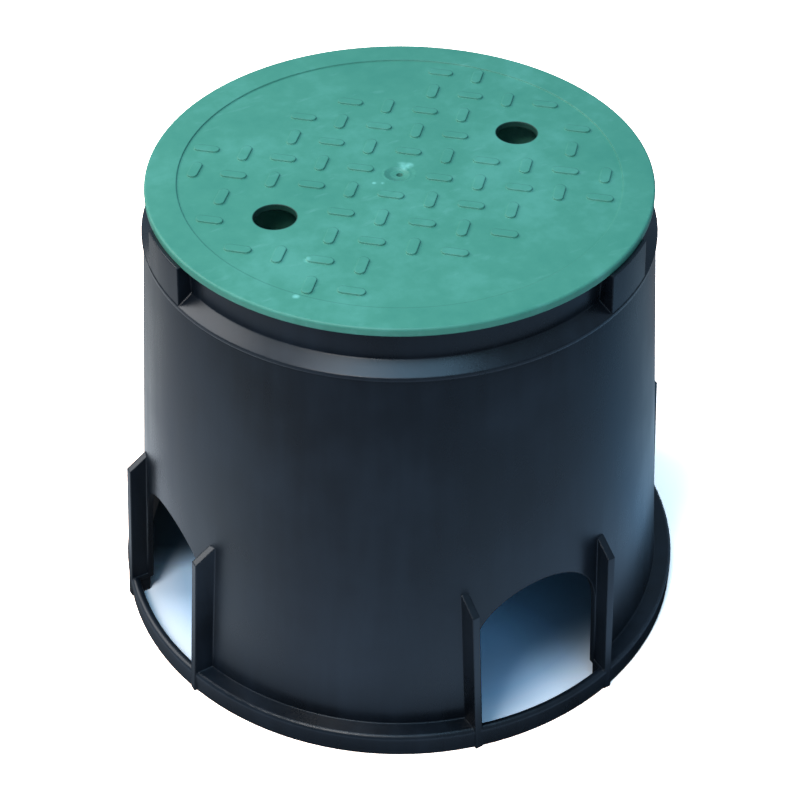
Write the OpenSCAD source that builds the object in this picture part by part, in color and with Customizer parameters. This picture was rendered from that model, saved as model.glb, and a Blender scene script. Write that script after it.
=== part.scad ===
// Round irrigation valve box: a tapered, open-bottomed body moulded in one piece, and its lift-off lid.
// Millimetres, +Z up. The base rests on z = 0 and the box's axis is the Z axis.

/* [Body] */
// Diameter over the base flange
base_d = 310.6; // [290:0.2:330]
// Height of the neck's rim, where the lid rests
body_h = 249.6; // [200:0.2:300]
// Wall thickness of the body
wall_t = 3.4; // [2.5:0.1:5]
// Diameter of the wall just under the shoulder
wall_d = 254.6; // [246:0.2:262]

/* [Base flange] */
// How far the flange stands out from the foot of the wall
flange_w = 9.7; // [7:0.1:16]
// Height of the flange over the ground
flange_h = 13; // [10:0.5:20]
// Thickness of the flange's flat top
flange_t = 3; // [2:0.1:4]
// Thickness of the lip that turns down from the flange's edge
lip_t = 3.2; // [2.5:0.1:4.5]
// Rounding of the flange's upper edge
flange_round = 2.6; // [1:0.1:3]
// Gussets inside the lip, between one opening and the next
gusset_count = 3; // [1:1:4]
// Thickness of a gusset
gusset_t = 2; // [1.5:0.1:3]
// Height of a gusset's lower edge over the ground
gusset_z = 3; // [1:0.5:5]

/* [Shoulder and neck] */
// Height of the neck over the shoulder
neck_h = 16.4; // [13:0.2:30]
// How far the shoulder's edge stands out from the wall
shoulder_step = 0.8; // [0.6:0.1:2]
// Height of the shoulder's straight edge
shoulder_edge = 2; // [1:0.1:4]
// Rise of the slope from the shoulder's edge to the neck
shoulder_rise = 4.8; // [3:0.1:7]
// Outside diameter of the neck
neck_d = 240.4; // [236:0.2:244]
// Thickness of the neck
neck_t = 3; // [2.5:0.1:4]

/* [Neck lugs] */
// Lugs around the neck
lug_count = 3; // [2:1:4]
// Angle that each lug spans, degrees
lug_span = 15.5; // [12:0.5:30]
// Turn of the lugs against the pipe openings, degrees
lug_turn = -2; // [-20:0.5:20]
// Outside diameter over the lugs at the neck's rim
lug_d = 253.4; // [251:0.2:255]
// How far a lug's foot stays inside the shoulder's edge
lug_inset = 0.2; // [0.1:0.1:0.5]
// Thickness of a lug's outer and end walls
lug_t = 2.6; // [2:0.1:2.8]
// Extra thickness of the neck behind a lug's core
lug_root = 0.6; // [0.3:0.1:1]

/* [Pipe openings] */
// Pipe openings around the body
opening_count = 4; // [2:1:5]
// Width of a pipe opening
opening_w = 75; // [60:1:80]
// Height of an opening's crown over the ground
opening_h = 92; // [70:1:110]
// Wall left between an opening and the rib beside it
rib_gap = 0.8; // [0.4:0.1:4]
// Thickness of the rib on each side of an opening
rib_t = 4; // [3:0.1:6]
// How far a rib's foot stands out from the lip
rib_stand = 0.5; // [0.2:0.1:1.5]
// Height of a rib where it leaves the wall
rib_h = 97; // [80:1:130]
// Fall of a rib's top edge from the wall to its outer corner
rib_fall = 7; // [2:0.5:10]

/* [Lid] */
// Diameter of the lid
lid_d = 249.4; // [246:0.2:251]
// Thickness of the lid's rim
lid_t = 4; // [3:0.1:6]
// Rounding of the lid's upper edge
lid_round = 1.2; // [0.5:0.1:2]
// Diameter of the sunken field inside the lid's plain border
field_d = 218; // [210:1:224]
// Depth of the sunken field
field_drop = 0.7; // [0.3:0.1:1.5]
// Turn of the lid in its seat, degrees
lid_turn = 2; // [-20:1:20]
// Play between the lid and the rim it rests on
seat_gap = 0.05; // [0.02:0.01:0.2]

/* [Finger holes] */
// Diameter of a finger hole
finger_d = 21; // [16:0.5:25]
// Distance between the two finger holes
finger_pitch = 140; // [120:1:150]
// Room for a fingertip between the edge of a hole and the well's wall under the lid
well_step = 10.5; // [8:0.5:12]
// Thickness of the well's wall
well_t = 2.4; // [1.5:0.1:4]
// Depth of the well under the lid's plate
well_h = 20; // [12:0.5:22]

/* [Tread pattern] */
// Pitch of the treads that lie one way
tread_pitch = 27.9; // [24:0.1:32]
// Length of a tread
tread_l = 13; // [9:0.5:14]
// Width of a tread
tread_w = 5; // [3:0.1:6]
// Height of a tread over the field
tread_h = 0.9; // [0.5:0.1:1.5]
// Radius up to which treads are set
tread_reach = 101; // [80:1:102]
// Radius at which the two plain arcs of the field begin
arc_r = 78; // [70:1:90]
// Half the angle that each plain arc spans, degrees
arc_half = 35; // [20:1:40]
// Diameter of the gate mark's dish
gate_d = 16; // [8:1:18]
// Depth of the gate mark's dish
gate_depth = 0.9; // [0.4:0.1:1.2]
// Diameter of the pit in the dish, where the sprue broke off
pit_d = 3; // [2:0.5:5]
// Depth of the pit under the dish
pit_depth = 0.8; // [0.4:0.1:1]

/* [Lid underside] */
// Play between the lid's skirt and the neck
skirt_gap = 0.8; // [0.5:0.1:1.5]
// Thickness of the skirt
skirt_t = 2.4; // [2:0.1:4]
// Depth of the skirt
skirt_h = 11; // [6:0.5:14]
// Spokes under the lid
spoke_count = 8; // [4:4:16]
// Thickness of a spoke and of the hub ring
spoke_t = 2.2; // [1.5:0.1:3]
// Depth of a spoke and of the hub ring
spoke_h = 8; // [4:0.5:10]
// Outside diameter of the hub ring
hub_d = 60; // [40:1:80]

/* [Colours] */
// Colour of the body
body_color = "#23292f";
// Colour of the lid
lid_color = "#54aa9b";

/* [Hidden] */
$fn = 180;
over = 1;
base_r = base_d / 2;
neck_r = neck_d / 2;
lug_r = lug_d / 2;
lid_r = lid_d / 2;
lip_in_r = base_r - lip_t;
shoulder_r = wall_d / 2 + shoulder_step;
opening_turn = 360 / opening_count;
lid_z = body_h + seat_gap;
lid_top = lid_z + lid_t;
field_z = lid_top - field_drop;
skirt_r = neck_r - neck_t - skirt_gap;
neck_z = body_h - neck_h;
slope_z = neck_z - shoulder_rise;
shoulder_z = slope_z - shoulder_edge;
rib_mid = opening_w / 2 + rib_gap + rib_t / 2;
rib_corner = rib_h - rib_fall;
arch_z = opening_h - opening_w / 2;
lug_foot = slope_z - shoulder_edge / 2;
lug_foot_r = shoulder_r - lug_inset;
well_d = finger_d + 2 * well_step;
gate_r = (gate_d * gate_d / 4 + gate_depth * gate_depth) / (2 * gate_depth);

// Outside radius of the wall at a height: it widens evenly from the shoulder down to the flange.
function wall_r(z) = wall_d / 2 + (shoulder_z - z) * (base_r - flange_w - wall_d / 2) / (shoulder_z - flange_h);

// The body's section: flange, tapered wall, shoulder and neck, all of even thickness.
module body_section() {
    polygon([
        [base_r - lip_t / 2, flange_h], [wall_r(flange_h), flange_h], [wall_r(shoulder_z), shoulder_z],
        [shoulder_r, shoulder_z], [shoulder_r, slope_z], [neck_r, neck_z], [neck_r, body_h],
        [neck_r - neck_t, body_h], [neck_r - neck_t, neck_z - wall_t],
        [wall_r(shoulder_z) - wall_t, shoulder_z - wall_t / 2],
        [wall_r(flange_h - flange_t) - wall_t, flange_h - flange_t],
        [base_r - lip_t / 2, flange_h - flange_t]
    ]);
}

// The lip's section: upright, with its upper outside edge rounded.
module lip_section() {
    polygon([
        [lip_in_r, 0], [base_r, 0], [base_r, flange_h - flange_round],
        [base_r - flange_round, flange_h], [lip_in_r, flange_h]
    ]);
    translate([base_r - flange_round, flange_h - flange_round]) circle(flange_round);
}

// The space inside the middle of the wall's thickness, where the ribs' roots end.
module inside_wall() {
    translate([0, 0, -over])
        cylinder(h = shoulder_z + over, r1 = wall_r(-over) - wall_t / 2, r2 = wall_r(shoulder_z) - wall_t / 2);
}

// One pipe opening's cut: straight sides and a round crown, through the wall and the flange.
module opening_cut() {
    translate([neck_r / 2, 0, 0]) rotate([90, 0, 90]) linear_extrude(base_r) {
        translate([-opening_w / 2, -over]) square([opening_w, arch_z + over]);
        translate([0, arch_z]) circle(d = opening_w);
    }
}

// One rib beside an opening: an upright plate from the wall out to the flange's edge. Its outer edge leans in with
// the wall's own taper.
module rib(side) {
    top_x = sqrt(pow(wall_r(rib_h), 2) - pow(rib_mid, 2));
    root_x = top_x - 2 * wall_t;
    edge_x = sqrt(base_r * base_r - pow(rib_mid - rib_t / 2, 2)) + rib_stand;
    lean = wall_r(0) - wall_r(rib_corner);
    difference() {
        translate([0, side * rib_mid + rib_t / 2, 0]) rotate([90, 0, 0]) linear_extrude(rib_t)
            polygon([[root_x, 0], [edge_x, 0], [edge_x - lean, rib_corner], [top_x, rib_h], [root_x, rib_h]]);
        inside_wall();
    }
}

// Gussets under the flange, between the wall and the lip.
module gussets() {
    reach = wall_r(flange_h) - wall_t / 2;
    rib_turn = asin((rib_mid + rib_t / 2) / lip_in_r);
    for (k = [1 : gusset_count])
        rotate([0, 0, rib_turn + k * (opening_turn - 2 * rib_turn) / (gusset_count + 1)])
            translate([reach, -gusset_t / 2, gusset_z])
                cube([lip_in_r + lip_t / 2 - reach, gusset_t, flange_h - flange_t / 2 - gusset_z]);
}

// One lug: a block whose face carries the wall's line on up from the shoulder to the rim. It is cored out from
// above so that its walls stay even.
module lug() {
    end_span = lug_t / lug_r * 180 / PI;
    difference() {
        rotate([0, 0, -lug_span / 2]) rotate_extrude(angle = lug_span) polygon([
            [neck_r - neck_t / 2, neck_z - shoulder_rise / 4], [lug_foot_r, lug_foot],
            [lug_r, body_h], [neck_r - neck_t / 2, body_h]
        ]);
        rotate([0, 0, end_span - lug_span / 2]) rotate_extrude(angle = lug_span - 2 * end_span)
            translate([neck_r + lug_root, neck_z]) square([lug_r - lug_t - neck_r - lug_root, body_h]);
    }
}

module body() {
    color(body_color) {
        difference() {
            rotate_extrude() body_section();
            for (k = [0 : opening_count - 1]) rotate([0, 0, k * opening_turn]) opening_cut();
        }
        rotate_extrude() lip_section();
        for (k = [0 : opening_count - 1]) rotate([0, 0, k * opening_turn]) {
            rib(-1);
            rib(1);
            gussets();
        }
        for (k = [0 : lug_count - 1]) rotate([0, 0, 180 + lug_turn + k * 360 / lug_count]) lug();
    }
}

// The lid's section: plate with a sunken field and a rounded rim, and the skirt that drops into the neck.
module lid_section() {
    polygon([
        [0, lid_z], [lid_r, lid_z], [lid_r, lid_top - lid_round], [lid_r - lid_round, lid_top],
        [field_d / 2, lid_top], [field_d / 2, field_z], [0, field_z]
    ]);
    translate([lid_r - lid_round, lid_top - lid_round]) circle(lid_round);
    translate([skirt_r - skirt_t, lid_z - skirt_h]) square([skirt_t, skirt_h + lid_t / 2]);
}

// One tread: a raised bar with round ends.
module tread() {
    straight = tread_l - tread_w;
    translate([0, 0, field_z - field_drop]) linear_extrude(tread_h + field_drop) {
        square([straight, tread_w], center = true);
        for (s = [-1, 1]) translate([s * straight / 2, 0]) circle(d = tread_w, $fn = 32);
    }
}

// A cell of the pattern holds a tread unless it is the gate mark's, a finger hole's or a plain arc's.
function has_tread(x, y) =
    let (r = norm([x, y]), off = abs(abs(atan2(y, x)) - 90))
    r > gate_d / 2 && r < tread_reach
    && norm([abs(x) - finger_pitch / 2, y]) > (finger_d + tread_l) / 2
    && !(r > arc_r && off < arc_half);

// Treads in two slanting directions that alternate over the field.
module treads() {
    reach = ceil(2 * tread_reach / tread_pitch);
    for (i = [-reach : reach], j = [-reach : reach])
        if ((i - j) % 2 == 0) {
            x = i * tread_pitch / 2;
            y = j * tread_pitch / 2;
            if (has_tread(x, y)) translate([x, y, 0]) rotate([0, 0, i % 2 == 0 ? 45 : -45]) tread();
        }
}

// Stiffening under the plate: a hub ring, spokes out to the skirt and a well round each finger hole.
module underside() {
    translate([0, 0, lid_z - spoke_h]) difference() {
        cylinder(h = spoke_h + lid_t / 2, d = hub_d);
        translate([0, 0, -over]) cylinder(h = spoke_h + lid_t + 2 * over, d = hub_d - 2 * spoke_t);
    }
    for (k = [0 : spoke_count - 1]) rotate([0, 0, (k + 0.5) * 360 / spoke_count])
        translate([hub_d / 2 - spoke_t / 2, -spoke_t / 2, lid_z - spoke_h])
            cube([skirt_r - skirt_t / 2 - hub_d / 2 + spoke_t / 2, spoke_t, spoke_h + lid_t / 2]);
    for (s = [-1, 1]) translate([s * finger_pitch / 2, 0, lid_z - well_h])
        cylinder(h = well_h + lid_t / 2, d = well_d + 2 * well_t);
}

module lid() {
    color(lid_color) rotate([0, 0, lid_turn]) difference() {
        union() {
            rotate_extrude() lid_section();
            underside();
            treads();
        }
        for (s = [-1, 1]) translate([s * finger_pitch / 2, 0, lid_z - well_h - over]) {
            cylinder(h = well_h + over, d = well_d);
            cylinder(h = well_h + lid_t + 2 * over, d = finger_d);
        }
        translate([0, 0, field_z - gate_depth + gate_r]) sphere(gate_r);
        translate([0, 0, field_z - gate_depth - pit_depth]) cylinder(h = gate_depth + pit_depth, d = pit_d);
    }
}

body();
lid();
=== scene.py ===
# %% [markdown]
# A round irrigation valve box, dressed over its CAD frame. The real box is two plastic mouldings: a
# near-black body that stands in the ground, and a teal green lid that lifts off with two fingers.
# The frame brings both as true solids, so this lesson is mostly about surfaces: how a moulding gets
# its soft edges, its fine texture and its sheen, and how the light around it makes that sheen.

# %% Load the frame
import math
import bmesh
import bpy
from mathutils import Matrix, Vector

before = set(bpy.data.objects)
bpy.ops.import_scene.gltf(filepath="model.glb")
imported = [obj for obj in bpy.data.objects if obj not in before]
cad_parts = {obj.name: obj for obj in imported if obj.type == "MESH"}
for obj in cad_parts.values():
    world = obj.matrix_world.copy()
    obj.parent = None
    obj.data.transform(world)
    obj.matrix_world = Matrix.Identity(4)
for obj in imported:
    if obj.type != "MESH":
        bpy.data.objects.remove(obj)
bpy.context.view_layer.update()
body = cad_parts["body"]
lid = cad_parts["lid"]

# %% [markdown]
# Colours are picked as sRGB hex values, the way a paint chart gives them. Blender's shaders work in
# linear light, so one function turns a hex value to linear. A second one adds a node with its
# settings and its links, which keeps each material short enough to read as a recipe.

# %% Two helpers
# A Mix node's colour sockets share their names with its other sockets, so they go by number.
MIX_A, MIX_B, MIX_RESULT = 6, 7, 2


def linear(code):
    """A hex colour such as #54aa9b as linear red, green, blue and alpha."""
    parts = [int(code[i:i + 2], 16) / 255 for i in (1, 3, 5)]
    return [p / 12.92 if p <= 0.04045 else ((p + 0.055) / 1.055) ** 2.4 for p in parts] + [1.0]


def add(tree, kind, settings=None, links=None, **values):
    """Adds a node, sets its settings and input values, and links its inputs to other nodes."""
    node = tree.nodes.new(kind)
    for name, value in (settings or {}).items():
        setattr(node, name, value)
    for name, value in values.items():
        node.inputs[name.replace("_", " ")].default_value = value
    for name, (source, output) in (links or {}).items():
        tree.links.new(source.outputs[output], node.inputs[name])
    return node


print("teal in linear light", [round(c, 3) for c in linear("#54aa9b")])

# %% [markdown]
# A colour ramp is the workhorse of every finish below: it turns a number, such as a noise or a
# distance, into a colour or a strength. This function makes one from stops that are given in the
# number's own unit, because a ramp itself only runs from 0 to 1.

# %% Ramp
def ramp(tree, source, output, stops, start=0.0, end=1.0):
    """A colour ramp over a value, with its stops given in the value's own unit."""
    span = add(tree, "ShaderNodeMapRange", links={"Value": (source, output)},
               From_Min=start, From_Max=end)
    node = add(tree, "ShaderNodeValToRGB", links={"Fac": (span, "Result")})
    band = node.color_ramp
    while len(band.elements) < len(stops):
        band.elements.new(0.5)
    # every stop is moved before any is coloured, because Blender keeps them in order of place
    for element, (at, _) in zip(band.elements, stops):
        element.position = (at - start) / (end - start)
    for element, (_, color) in zip(band.elements, stops):
        element.color = (*color[:3], 1) if isinstance(color, (tuple, list)) else (color, color, color, 1)
    return node


print("ramps run over any range, with stops in its own unit")

# %% [markdown]
# The body is injection-moulded polypropylene, coloured right through with carbon black. It comes
# out of a polished mould, so its sheen is clear but a little uneven: large clouds where the melt
# cooled at different rates, and faint upright streaks along the way it left the mould. The Bevel
# node rounds every edge by about a millimetre, as a mould's cutter does, without touching the
# solid's mesh. A bump alone couldn't do that, because a bump follows a pattern and not the edges.

# %% Body material
POLYPROPYLENE_IOR = 1.49


def moulded_black_polypropylene():
    """Near-black polypropylene from a polished injection mould."""
    material = bpy.data.materials.new("injection_moulded_black_polypropylene")
    material.use_nodes = True
    tree = material.node_tree
    shader = tree.nodes["Principled BSDF"]
    place = add(tree, "ShaderNodeTexCoord")
    # clouds about 60 mm across, and streaks 8 mm wide and 120 mm long
    cloud = add(tree, "ShaderNodeTexNoise", links={"Vector": (place, "Object")}, Scale=16.0, Detail=5.0)
    upright = add(tree, "ShaderNodeMapping", links={"Vector": (place, "Object")}, Scale=(125, 125, 8))
    streak = add(tree, "ShaderNodeTexNoise", links={"Vector": (upright, "Vector")}, Scale=1.0, Detail=3.0)
    uneven = add(tree, "ShaderNodeMath", {"operation": "MULTIPLY_ADD"},
                 links={0: (streak, "Fac"), 2: (cloud, "Fac")})
    uneven.inputs[1].default_value = 0.35
    tone = ramp(tree, uneven, "Value", [
        (0.50, linear("#0a0e13")), (0.66, linear("#10161d")), (0.90, linear("#1b232c"))])
    rough = ramp(tree, uneven, "Value", [(0.50, 0.25), (0.85, 0.35)])
    edge = add(tree, "ShaderNodeBevel", {"samples": 6}, Radius=0.0011)
    # the polish leaves a texture of about 1.5 mm, and nothing finer shows at this size
    grain = add(tree, "ShaderNodeTexNoise", links={"Vector": (place, "Object")}, Scale=700.0, Detail=2.0)
    bump = add(tree, "ShaderNodeBump", links={"Height": (grain, "Fac"), "Normal": (edge, "Normal")},
               Strength=0.10, Distance=0.0002)
    shader.inputs["IOR"].default_value = POLYPROPYLENE_IOR
    tree.links.new(tone.outputs["Color"], shader.inputs["Base Color"])
    tree.links.new(rough.outputs["Color"], shader.inputs["Roughness"])
    tree.links.new(bump.outputs["Normal"], shader.inputs["Normal"])
    return material


black = moulded_black_polypropylene()
print(black.name, "has", len(black.node_tree.nodes), "nodes")

# %% [markdown]
# The lid is the same plastic with a teal masterbatch. Its top is spark-eroded in the mould to a
# fine matt. Pigment never mixes quite evenly, so two noises of different size mottle the colour,
# and stacking leaves pale rub marks. Polypropylene turns pale where it is strained: the sprue was
# twisted off at the middle, which left a pale splash beside the gate's pit, and a few knocks left
# nicks. The splash also paints the highlight on the lit side of the gate's dish, and the two pale
# spots furthest out are painted glints on the treads. The finger holes' walls get a painted shade.
#
# All of these marks sit at places measured on the lid, so each is drawn by its distance from an
# upright line through its own centre. That needs no picture and no second set of coordinates.

# %% Places on the lid
FINGER_HOLES = ((0.069957, 0.002443), (-0.069957, -0.002443))
HOLE_RADIUS = 0.0105
GATE = (0.0, 0.0)
DISH = (-0.0012, 0.0006)
# the splash in two parts, which is also a painted highlight, two nicks beside the gate, and two
# painted glints further out: x, y and reach
STRAINED_SPOTS_AND_GLINTS = ((0.0042, 0.0052, 0.0042), (0.0075, 0.0040, 0.0030), (-0.0150, -0.0011, 0.0013),
            (-0.0114, -0.0033, 0.0012), (-0.0732, -0.0408, 0.0022), (-0.0910, -0.0636, 0.0020))


def distance_across(tree, place, centre):
    """The distance of a point from an upright line through the centre, given as x and y."""
    away = add(tree, "ShaderNodeVectorMath", {"operation": "SUBTRACT"}, links={0: (place, "Object")})
    away.inputs[1].default_value = (*centre, 0)
    flat = add(tree, "ShaderNodeVectorMath", {"operation": "MULTIPLY"}, links={0: (away, "Vector")})
    flat.inputs[1].default_value = (1, 1, 0)
    return add(tree, "ShaderNodeVectorMath", {"operation": "LENGTH"}, links={0: (flat, "Vector")})


print(len(FINGER_HOLES), "finger holes and", len(STRAINED_SPOTS_AND_GLINTS), "strained spots")

# %% [markdown]
# The lid's colour is built in layers, its real marks in the order in which the real one got them:
# the mottled plastic, the rub marks, the strained spots with painted highlights among them, and
# last a painted shade in its holes and in the gate's pit.

# %% Lid material
def moulded_teal_polypropylene():
    """Teal polypropylene, spark-eroded to a matt top, rubbed and whitened by strain, with painted
    highlights and shade.
    """
    material = bpy.data.materials.new("injection_moulded_teal_polypropylene")
    material.use_nodes = True
    tree = material.node_tree
    shader = tree.nodes["Principled BSDF"]
    place = add(tree, "ShaderNodeTexCoord")
    # mottling about 45 mm and 6 mm across
    cloud = add(tree, "ShaderNodeTexNoise", links={"Vector": (place, "Object")}, Scale=22.0, Detail=5.0)
    fleck = add(tree, "ShaderNodeTexNoise", links={"Vector": (place, "Object")}, Scale=160.0, Detail=4.0)
    uneven = add(tree, "ShaderNodeMath", {"operation": "MULTIPLY_ADD"},
                 links={0: (fleck, "Fac"), 2: (cloud, "Fac")})
    uneven.inputs[1].default_value = 0.4
    tone = ramp(tree, uneven, "Value", [
        (0.50, linear("#438f78")), (0.70, linear("#4a957d")), (0.90, linear("#56a08a"))])
    # rub marks: only the crests of a stretched noise show
    slant = add(tree, "ShaderNodeMapping", links={"Vector": (place, "Object")}, Rotation=(0, 0, 0.5),
                Scale=(60, 170, 60))
    rubbed = add(tree, "ShaderNodeTexNoise", links={"Vector": (slant, "Vector")}, Scale=1.0, Detail=4.0)
    marks = ramp(tree, rubbed, "Fac", [(0.64, 0.0), (0.84, 0.3)])
    worn = add(tree, "ShaderNodeMix", {"data_type": "RGBA"},
               links={"Factor": (marks, "Color"), MIX_A: (tone, "Color")})
    worn.inputs[MIX_B].default_value = linear("#84c4b6")
    # the spots whitened by strain, with the painted highlight and the painted glints: each fades out
    # at its own reach, and the fine noise breaks them up
    pale_spots_and_glints = None
    for x, y, reach in STRAINED_SPOTS_AND_GLINTS:
        spot = ramp(tree, distance_across(tree, place, (x, y)), "Value",
                    [(0.0, 1.0), (reach / 2, 0.7), (reach, 0.0)], 0.0, 0.01)
        if pale_spots_and_glints:
            spot = add(tree, "ShaderNodeMath", {"operation": "MAXIMUM"},
                       links={0: pale_spots_and_glints, 1: (spot, "Color")})
        pale_spots_and_glints = (spot, "Value" if pale_spots_and_glints else "Color")
    crumbs = ramp(tree, fleck, "Fac", [(0.38, 0.1), (0.66, 0.9)])
    broken = add(tree, "ShaderNodeMath", {"operation": "MULTIPLY"},
                 links={0: pale_spots_and_glints, 1: (crumbs, "Color")})
    # one pale colour paints the whitened plastic and the painted highlight and glints alike
    splashed_and_glinting = add(tree, "ShaderNodeMix", {"data_type": "RGBA"},
                   links={"Factor": (broken, "Value"), MIX_A: (worn, MIX_RESULT)})
    splashed_and_glinting.inputs[MIX_B].default_value = linear("#8fdcca")
    # painted shade in the finger holes, which fades out within a millimetre of their edges
    near = [distance_across(tree, place, hole) for hole in FINGER_HOLES]
    nearest = add(tree, "ShaderNodeMath", {"operation": "MINIMUM"},
                  links={0: (near[0], "Value"), 1: (near[1], "Value")})
    painted_hole_shade = ramp(tree, nearest, "Value", [(HOLE_RADIUS + 0.0001, 0.22), (HOLE_RADIUS + 0.0006, 1.0)],
                0.0, 0.02)
    # the gate's pit is too narrow for light to reach its floor
    from_gate = distance_across(tree, place, GATE)
    pit = ramp(tree, from_gate, "Value", [(0.0009, 0.45), (0.0020, 1.0)], 0.0, 0.01)
    shaded = add(tree, "ShaderNodeMath", {"operation": "MULTIPLY"},
                 links={0: (painted_hole_shade, "Color"), 1: (pit, "Color")})
    finished = add(tree, "ShaderNodeMix", {"data_type": "RGBA", "blend_type": "MULTIPLY"},
                   links={MIX_A: (splashed_and_glinting, MIX_RESULT), MIX_B: (shaded, "Value")}, Factor=1.0)
    edge = add(tree, "ShaderNodeBevel", {"samples": 8}, Radius=0.0009)
    # the sprue's twist left the moulded dish uneven, which a low wide bump shows
    bowl = ramp(tree, distance_across(tree, place, DISH), "Value",
                [(0.0, 0.0), (0.0035, 0.25), (0.0062, 1.0), (0.0075, 0.8)], 0.0, 0.01)
    dent = add(tree, "ShaderNodeBump", links={"Height": (bowl, "Color"), "Normal": (edge, "Normal")},
               Strength=0.8, Distance=0.0016)
    # spark erosion at about 0.2 mm, drawn at 1.5 mm so that it shows
    grain = add(tree, "ShaderNodeTexNoise", links={"Vector": (place, "Object")}, Scale=650.0, Detail=2.0)
    bump = add(tree, "ShaderNodeBump", links={"Height": (grain, "Fac"), "Normal": (dent, "Normal")},
               Strength=0.15, Distance=0.0002)
    shader.inputs["IOR"].default_value = POLYPROPYLENE_IOR
    shader.inputs["Roughness"].default_value = 0.5
    tree.links.new(finished.outputs[MIX_RESULT], shader.inputs["Base Color"])
    tree.links.new(bump.outputs["Normal"], shader.inputs["Normal"])
    return material


teal = moulded_teal_polypropylene()
print(teal.name, "has", len(teal.node_tree.nodes), "nodes")

# %% [markdown]
# The two solids take their materials as they are. Their meshes stay untouched, and each keeps its
# own slot and the body that the frame gave it, so the lid's finish travels with it when it lifts.

# %% Dress the two mouldings
for piece, material in ((body, black), (lid, teal)):
    piece.data.materials.clear()
    piece.data.materials.append(material)
    print(piece.name, "has", len(piece.data.polygons), "triangles and wears", material.name)

# %% [markdown]
# Places around the object are easiest to give as seen from the camera: so far right, so far away,
# so high. The camera stands a twelfth of a turn round from the frame's front, and one function
# turns such a place to the frame.

# %% Seen from the camera
VIEW_TURN = math.radians(-30.35)


def seen_from_camera(right, away, up):
    """A point given as right of, and away from, the camera, as a point in the object's frame."""
    c, s = math.cos(VIEW_TURN), math.sin(VIEW_TURN)
    return (right * c - away * s, right * s + away * c, up)


print("one metre away is", [round(v, 3) for v in seen_from_camera(0, 1, 0)])

# %% [markdown]
# A sweep of white paper lies under the box. Three kinds of ray get three answers from it, and the
# cells below make them in turn. Everything is given by the distance from the box's middle and by
# the bearing round it, a share of a turn that starts behind the box as the camera sees it.

# %% Floor
floor_mesh = bmesh.new()
bmesh.ops.create_grid(floor_mesh, x_segments=1, y_segments=1, size=4.0)
floor_data = bpy.data.meshes.new("floor")
floor_mesh.to_mesh(floor_data)
floor_mesh.free()
floor = bpy.data.objects.new("floor", floor_data)
bpy.context.scene.collection.objects.link(floor)
paper = bpy.data.materials.new("white_paper_sweep")
paper.use_nodes = True
tree = paper.node_tree
tree.nodes.remove(tree.nodes["Principled BSDF"])
place = add(tree, "ShaderNodeTexCoord")
ray = add(tree, "ShaderNodeLightPath")
radius = add(tree, "ShaderNodeVectorMath", {"operation": "LENGTH"}, links={0: (place, "Object")})
bearing = add(tree, "ShaderNodeMapping", links={"Vector": (place, "Object")},
              Rotation=(0, 0, math.radians(90) - VIEW_TURN))
around = add(tree, "ShaderNodeTexGradient", {"gradient_type": "RADIAL"},
             links={"Vector": (bearing, "Vector")})
print("floor", [round(v, 2) for v in floor.dimensions])

# %% [markdown]
# Light that bounces sees plain white paper. The camera sees paper that is lighter outside the box,
# which keeps the ground white round its shadow, and a painted blue shade inside it, where only the
# sky reaches. Inside, the painted shade is darkest at the left and behind, where the wall keeps the
# light off.

# %% What the camera sees of the floor
INSIDE_RADIUS = 0.151
PLAIN_WHITE = 0.85
seen = ramp(tree, radius, "Value", [
    (0.090, (0.70, 1.30, 1.90)), (0.125, (0.75, 1.05, 1.35)), (0.150, (1.5, 1.5, 1.5)),
    (0.152, (4.2, 3.2, 2.6))], 0.05, 0.20)
# painted shade inside the box by its bearing: darkest at the left and behind
painted_inner_shade = ramp(tree, around, "Fac", [
    (0.00, 0.30), (0.12, 0.15), (0.255, 0.18), (0.280, 1.0), (0.60, 1.0), (0.65, 0.5), (0.70, 0.3)])
within = add(tree, "ShaderNodeMath", {"operation": "LESS_THAN"}, links={0: (radius, "Value")})
within.inputs[1].default_value = INSIDE_RADIUS
dimmed = add(tree, "ShaderNodeMix", {"data_type": "RGBA", "blend_type": "MULTIPLY"},
             links={"Factor": (within, "Value"), MIX_A: (seen, "Color"), MIX_B: (painted_inner_shade, "Color")})
shade = add(tree, "ShaderNodeMix", {"data_type": "RGBA"},
            links={"Factor": (ray, "Is Camera Ray"), MIX_B: (dimmed, MIX_RESULT)})
shade.inputs[MIX_A].default_value = (PLAIN_WHITE, PLAIN_WHITE, PLAIN_WHITE, 1)
matt = add(tree, "ShaderNodeBsdfDiffuse", links={"Color": (shade, MIX_RESULT)})
print("the floor is plain white to all but the camera, and dimmed inside", INSIDE_RADIUS, "m")

# %% [markdown]
# The glossy wall's reflections are painted on the paper, which glows for glossy rays only: white
# card on the left, blue daylight in front and on the right, and dark far away. One ramp gives the
# colour round the box and another the strength outward. Close to the flange a painted shade dims
# that glow, most of all at the right and behind, by a third ramp over the bearing.

# %% The reflections painted on the floor
colours = ramp(tree, around, "Fac", [
    (0.00, (0.42, 0.47, 0.53)), (0.12, (0.55, 0.60, 0.66)), (0.17, (0.95, 1.04, 1.12)),
    (0.23, (0.76, 0.86, 1.00)), (0.33, (0.76, 0.92, 1.10)), (0.42, (0.47, 0.61, 0.82)),
    (0.50, (0.38, 0.55, 0.79)), (0.58, (0.44, 0.68, 1.00)), (0.67, (0.37, 0.58, 0.86)),
    (0.75, (0.28, 0.54, 0.87)), (0.82, (0.40, 0.62, 0.84)), (0.87, (0.30, 0.34, 0.40)),
    (1.00, (0.42, 0.47, 0.53))])
strength = ramp(tree, radius, "Value", [
    (0.150, 0.12), (0.160, 0.32), (0.172, 0.80), (0.185, 1.15), (0.200, 1.25), (0.23, 1.1),
    (0.27, 0.90), (0.33, 0.72), (0.40, 0.66), (0.47, 0.45), (0.53, 0.25)], 0.10, 0.60)
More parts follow.
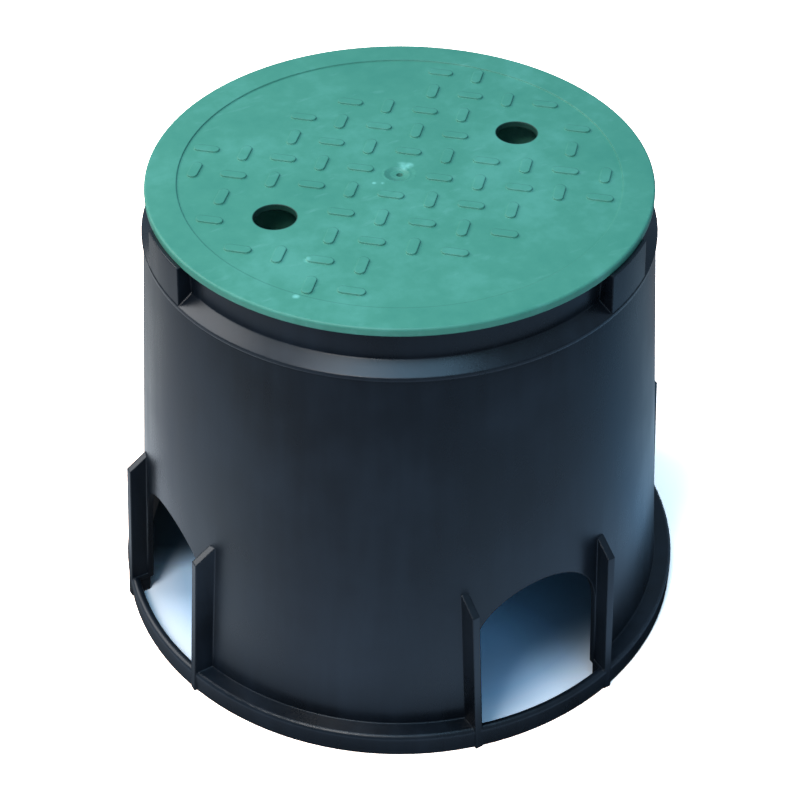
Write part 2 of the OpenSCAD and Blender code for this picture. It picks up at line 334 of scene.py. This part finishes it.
# painted shade in the reflections close to the flange, by bearing
painted_close_shade = ramp(tree, around, "Fac", [
    (0.25, 0.35), (0.38, 0.9), (0.52, 0.9), (0.60, 0.35), (0.66, 0.12), (0.90, 0.12), (1.00, 0.35)])
clear = ramp(tree, radius, "Value", [(0.172, 0.0), (0.185, 1.0)], 0.10, 0.60)
painted_shade_factor = add(tree, "ShaderNodeMath", {"operation": "MAXIMUM"},
          links={0: (painted_close_shade, "Color"), 1: (clear, "Color")})
power = add(tree, "ShaderNodeMath", {"operation": "MULTIPLY"},
            links={0: (strength, "Color"), 1: (painted_shade_factor, "Value")})
# the painted reflection: an emission that only glossy rays see
painted_reflection = add(tree, "ShaderNodeEmission",
               links={"Color": (colours, "Color"), "Strength": (power, "Value")})
answer = add(tree, "ShaderNodeMixShader", links={"Fac": (ray, "Is Glossy Ray"), 1: (matt, "BSDF"),
                                                 2: (painted_reflection, "Emission")})
tree.links.new(answer.outputs["Shader"], tree.nodes["Material Output"].inputs["Surface"])
floor_data.materials.append(paper)
print(paper.name, "has", len(tree.nodes), "nodes")

# %% [markdown]
# The sky is a soft blue fill, as from a large north window. The camera sees it as plain white, so
# the box stands on a clean ground without any more light falling on it.

# %% World
SKY = (0.18, 0.28, 0.40, 1)
world = bpy.data.worlds.new("studio")
bpy.context.scene.world = world
world.use_nodes = True
tree = world.node_tree
back = tree.nodes["Background"]
ray = add(tree, "ShaderNodeLightPath")
sky = add(tree, "ShaderNodeMix", {"data_type": "RGBA"}, links={"Factor": (ray, "Is Camera Ray")})
sky.inputs[MIX_A].default_value = SKY
sky.inputs[MIX_B].default_value = (1, 1, 1, 1)
tree.links.new(sky.outputs[MIX_RESULT], back.inputs["Color"])
print("sky", SKY[:3])

# %% [markdown]
# One key softbox stands high at the front left, where the shadow inside the left opening says it
# was. A second, at the upper left, is there for the bright band that it draws on the shoulder. The
# third is a window overhead: the shoulder mirrors it all along its front as a dull blue.

# %% Lamps
def softbox(name, place, width, watts, color=(1, 1, 1)):
    """A square area lamp, aimed at the middle of the box."""
    lamp = bpy.data.lights.new(name, "AREA")
    lamp.shape = "RECTANGLE"
    lamp.size = width
    lamp.size_y = width
    lamp.energy = watts
    lamp.color = color
    item = bpy.data.objects.new(name, lamp)
    bpy.context.scene.collection.objects.link(item)
    item.location = place
    middle = Vector((0, 0, 0.12))
    item.rotation_euler = (middle - Vector(place)).to_track_quat("-Z", "Y").to_euler()
    print(name, watts, "W at", [round(v, 2) for v in place])
    return item


softbox("key_softbox", seen_from_camera(-0.42, -0.69, 1.40), 0.45, 9, (1.0, 0.97, 0.95))
softbox("shoulder_softbox", seen_from_camera(-1.08, 0.36, 1.10), 1.0, 12)
softbox("overhead_softbox", seen_from_camera(0.0, -0.25, 1.60), 0.8, 8, (0.34, 0.68, 1.0))

# %% [markdown]
# The camera was fitted to the photograph's outlines: about a metre away, looking down at some 40
# degrees, with a lens given by its focal length in pixels at the picture's width.

# %% Camera
SENSOR = 36
FOCAL_PIXELS = 1824.46
PICTURE_WIDTH = 800
eye = bpy.data.cameras.new("camera")
eye.sensor_width = SENSOR
eye.lens = SENSOR * FOCAL_PIXELS / PICTURE_WIDTH
camera = bpy.data.objects.new("camera", eye)
bpy.context.scene.collection.objects.link(camera)
camera.location = seen_from_camera(-0.00042, -0.75311, 0.74641)
camera.rotation_euler = (math.radians(49.687), math.radians(-0.070), VIEW_TURN)
bpy.context.scene.camera = camera
bpy.context.scene.view_settings.view_transform = "Standard"
print("camera at", [round(v, 3) for v in camera.location], "lens", round(eye.lens, 1), "mm")

# %% End
print("the scene is set up")
